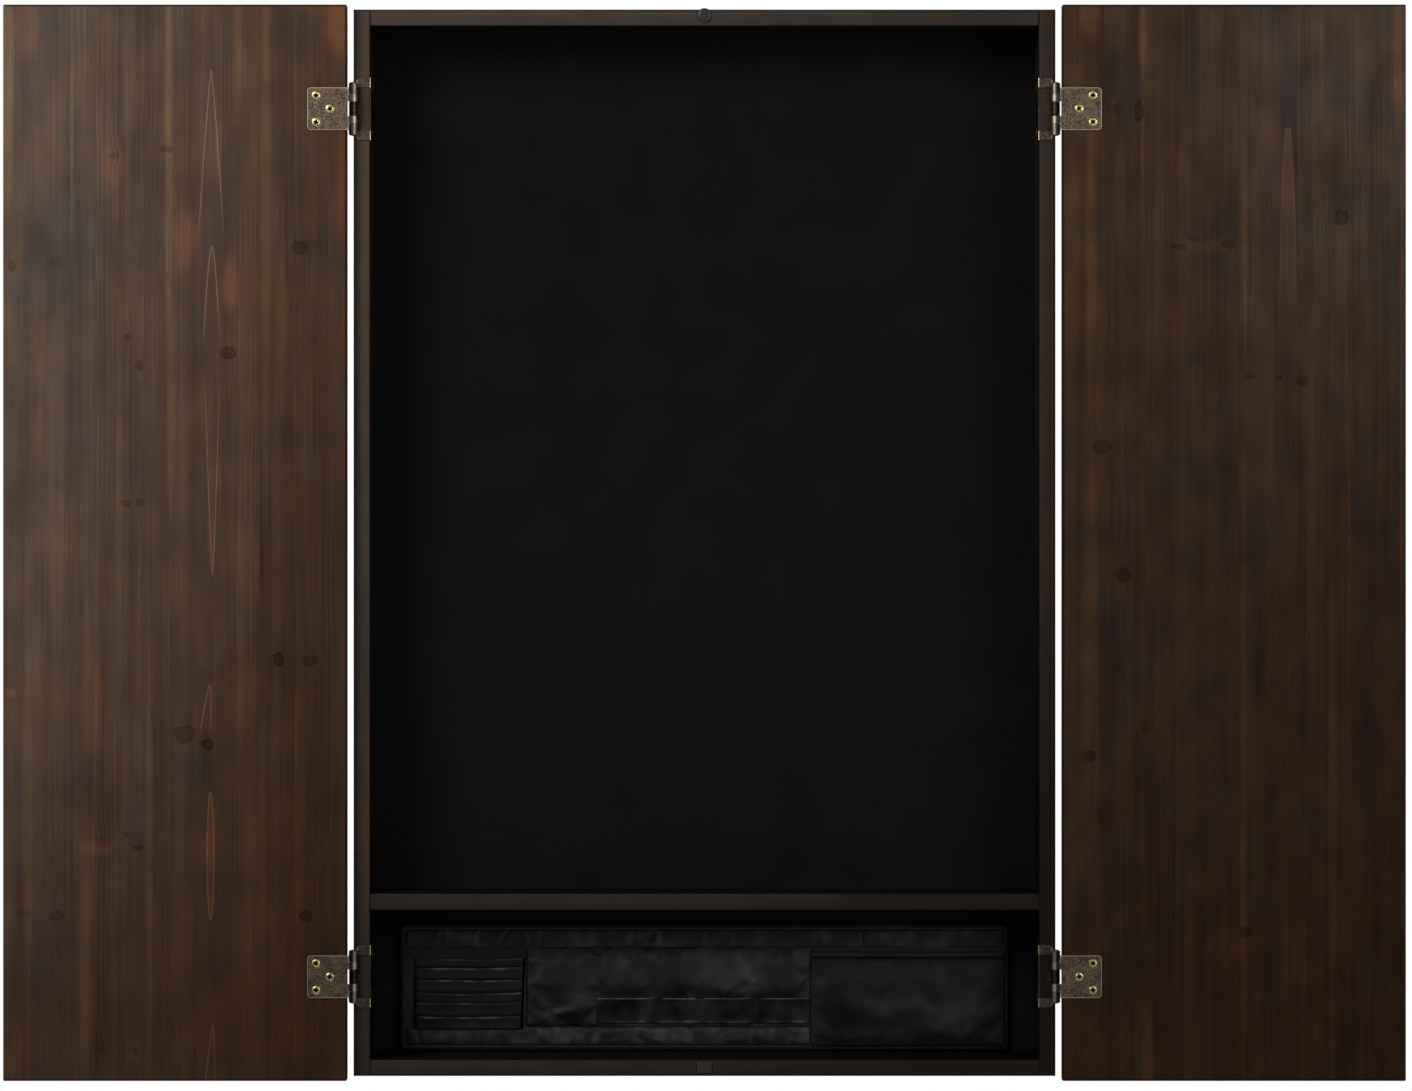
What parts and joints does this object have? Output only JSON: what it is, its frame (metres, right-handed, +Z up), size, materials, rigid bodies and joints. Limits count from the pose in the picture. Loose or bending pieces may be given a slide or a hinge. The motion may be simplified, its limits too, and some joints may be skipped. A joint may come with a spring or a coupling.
{
  "type": "dart board cabinet",
  "caption": "Wall cabinet for a dart board: a wooden case with a black back, a shelf, a nylon accessory organizer below, and hinged doors that open flat.",
  "frame": {"origin": "on the wall plane, midway between the round entries of the two keyhole plates at the back of the case", "axes": "+Z up, +X to the right as seen from the front, +Y into the wall; the case's front edges face -Y"},
  "size_m": [1.122, 0.095, 0.861],
  "materials": {
    "case_wood": "dark stained pine, satin",
    "door_wood": "reddish brown stained pine, satin",
    "dowel_wood": "bare hardwood",
    "black_panel": "black painted hardboard, matte",
    "antique_brass": "antique brass plated, satin",
    "brass": "bright brass plated",
    "spring_steel": "darkened spring steel",
    "steel": "zinc plated",
    "bumper": "grey, slightly glossy",
    "nylon": "black woven nylon, satin",
    "tape": "black hook and loop tape"
  },
  "bodies": {
    "cabinet": {"top_board": "case_wood", "bottom_board": "case_wood", "left_side": "case_wood", "right_side": "case_wood", "shelf": "case_wood", "back_panel": "black_panel", "hanging_rail": "case_wood", "lower_rail": "case_wood", "case_dowels": "dowel_wood", "shelf_dowels": "dowel_wood", "rail_dowels": "dowel_wood", "left_keyhole_plate": "steel", "right_keyhole_plate": "steel", "keyhole_screws": "steel", "top_bumper": "bumper", "bottom_bumper": "bumper", "left_frame_screws": "brass", "right_frame_screws": "brass", "left_upper_frame_leaf": "antique_brass", "left_upper_pin": "antique_brass", "left_upper_closing_spring": "spring_steel", "left_lower_frame_leaf": "antique_brass", "left_lower_pin": "antique_brass", "left_lower_closing_spring": "spring_steel", "right_upper_frame_leaf": "antique_brass", "right_upper_pin": "antique_brass", "right_upper_closing_spring": "spring_steel", "right_lower_frame_leaf": "antique_brass", "right_lower_pin": "antique_brass", "right_lower_closing_spring": "spring_steel", "organizer_backing": "nylon", "organizer_header": "nylon", "organizer_card_slots": "nylon", "organizer_small_pockets": "nylon", "organizer_bottom_band": "nylon", "organizer_large_pocket": "nylon", "organizer_binding": "nylon", "organizer_hook_tape": "tape", "organizer_loop_tape": "tape"},
    "left_door": {"left_door_panel": "door_wood", "left_door_screws": "brass", "left_upper_door_leaf": "antique_brass", "left_lower_door_leaf": "antique_brass"},
    "right_door": {"right_door_panel": "door_wood", "right_door_screws": "brass", "right_upper_door_leaf": "antique_brass", "right_lower_door_leaf": "antique_brass"}
  },
  "joints": [
    {"name": "left_door_swing", "type": "hinge", "parent": "cabinet", "child": "left_door", "pos_m": [-0.281, -0.0915, -0.379], "axis": [0, 0, 1], "range_deg": [0, 180]},
    {"name": "right_door_swing", "type": "hinge", "parent": "cabinet", "child": "right_door", "pos_m": [0.281, -0.0915, -0.379], "axis": [0, 0, -1], "range_deg": [0, 180]}
  ]
}
